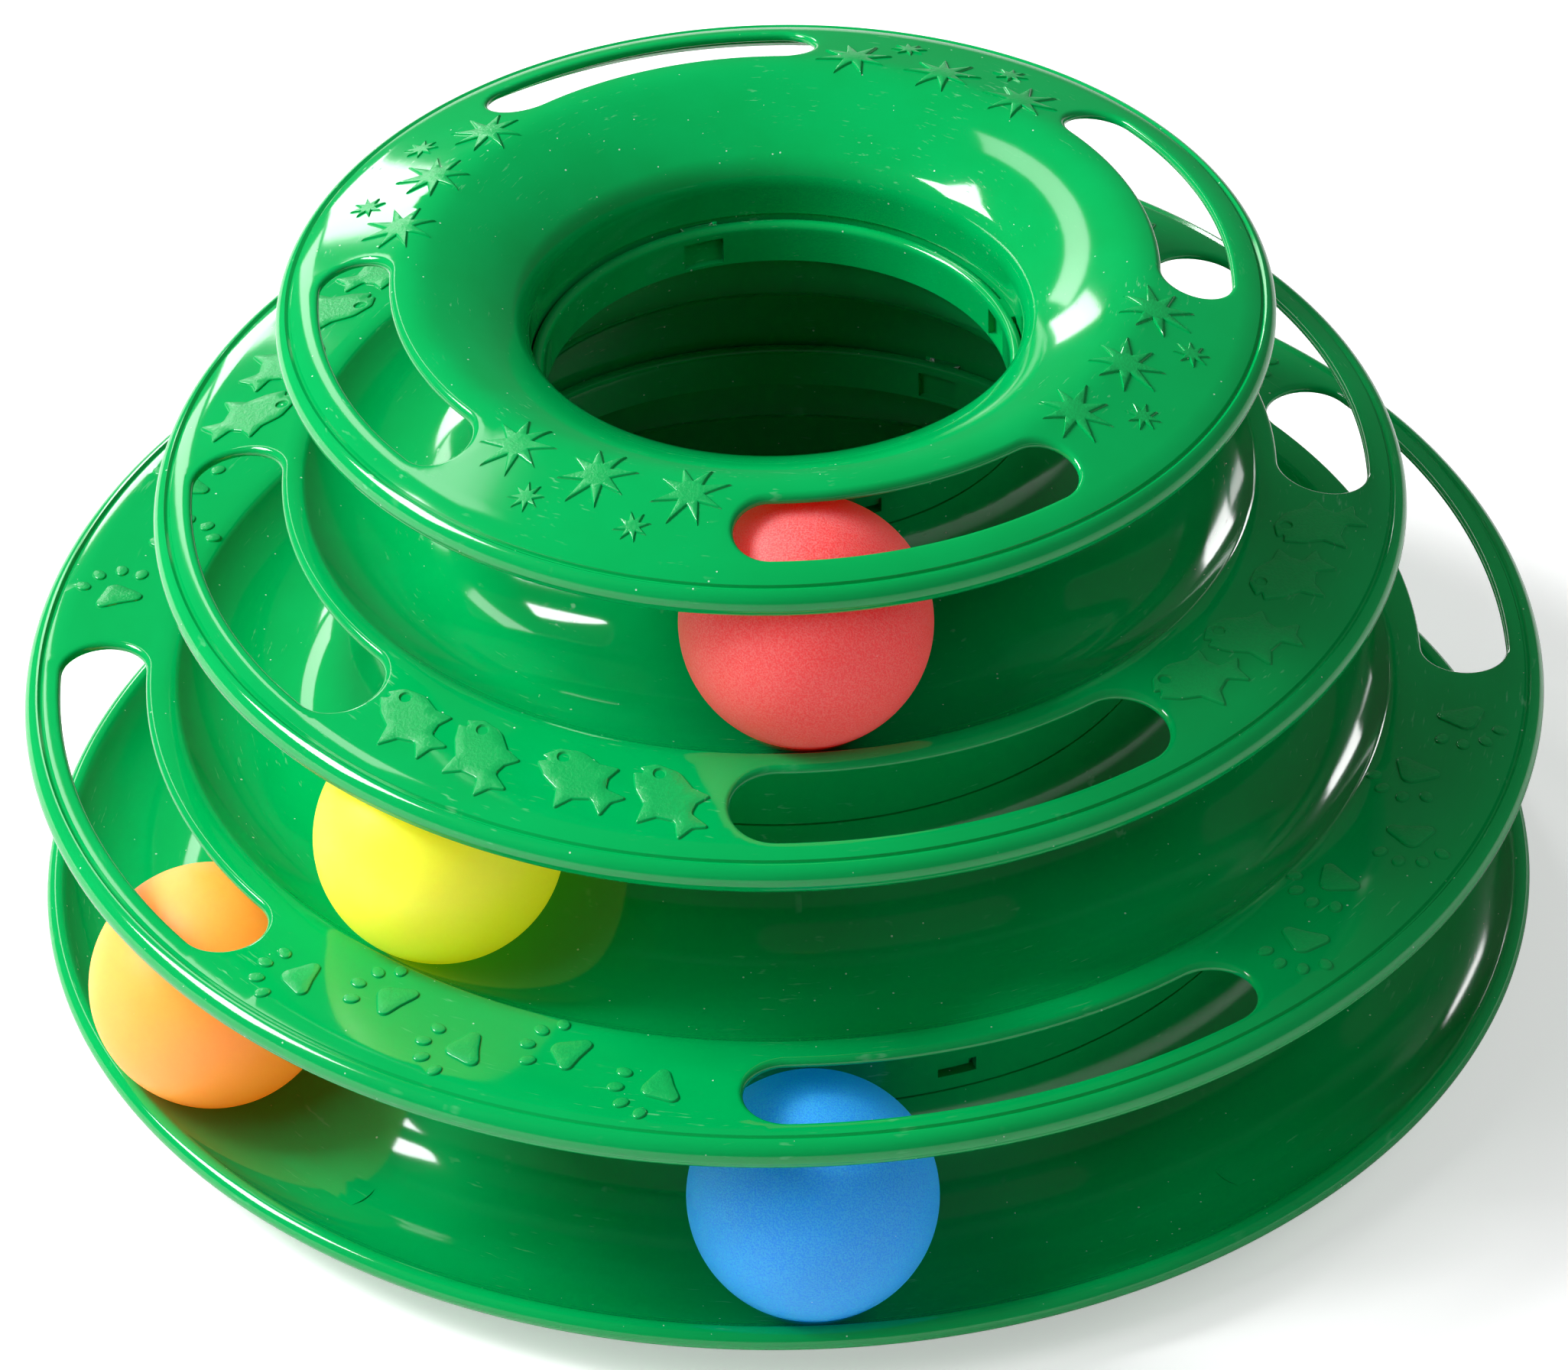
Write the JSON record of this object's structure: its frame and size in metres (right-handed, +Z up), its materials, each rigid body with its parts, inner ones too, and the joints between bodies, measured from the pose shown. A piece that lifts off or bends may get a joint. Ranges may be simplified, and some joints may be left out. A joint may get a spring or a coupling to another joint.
{
  "type": "cat ball track toy",
  "caption": "Round tower of stacked ball tracks for cats, with slotted rings, click-together hubs and coloured balls that roll round in open troughs.",
  "frame": {"origin": "on the ground at the tower's axis, in the plane of the foot pads", "axes": "+Z up along the tower's axis; -Y faces the viewer of the picture; +X to the viewer's right"},
  "size_m": [0.25, 0.2515, 0.1309],
  "materials": {
    "green_plastic": "glossy moulded, light handling scratches",
    "blue_ball": "fine sandy speckle",
    "orange_ball": "smooth satin",
    "yellow_ball": "smooth satin",
    "red_ball": "fine sandy speckle",
    "foot_rubber": "soft matt"
  },
  "bodies": {
    "base": {"base_track": "green_plastic", "foot_pad_1": "foot_rubber", "foot_pad_2": "foot_rubber", "foot_pad_3": "foot_rubber", "foot_pad_4": "foot_rubber"},
    "lower": {"lower_tier": "green_plastic"},
    "middle": {"middle_tier": "green_plastic"},
    "top": {"top_ring": "green_plastic"},
    "blue": {"blue_ball": "blue_ball"},
    "orange": {"orange_ball": "orange_ball"},
    "yellow": {"yellow_ball": "yellow_ball"},
    "red": {"red_ball": "red_ball"}
  },
  "joints": [
    {"name": "lower_tier_lift", "type": "slide", "parent": "base", "child": "lower", "axis": [0, 0, 1], "range_m": [0, 0.03]},
    {"name": "middle_tier_lift", "type": "slide", "parent": "lower", "child": "middle", "axis": [0, 0, 1], "range_m": [0, 0.03]},
    {"name": "top_ring_lift", "type": "slide", "parent": "middle", "child": "top", "axis": [0, 0, 1], "range_m": [0, 0.03]},
    {"name": "blue_ball_roll", "type": "hinge", "parent": "base", "child": "blue", "pos_m": [0, 0, 0], "axis": [0, 0, 1], "continuous": true},
    {"name": "orange_ball_roll", "type": "hinge", "parent": "blue", "child": "orange", "pos_m": [0, 0, 0], "axis": [0, 0, 1], "range_deg": [-274.9, 41.3]},
    {"name": "yellow_ball_roll", "type": "hinge", "parent": "lower", "child": "yellow", "pos_m": [0, 0, 0], "axis": [0, 0, 1], "continuous": true},
    {"name": "red_ball_roll", "type": "hinge", "parent": "middle", "child": "red", "pos_m": [0, 0, 0], "axis": [0, 0, 1], "continuous": true}
  ]
}
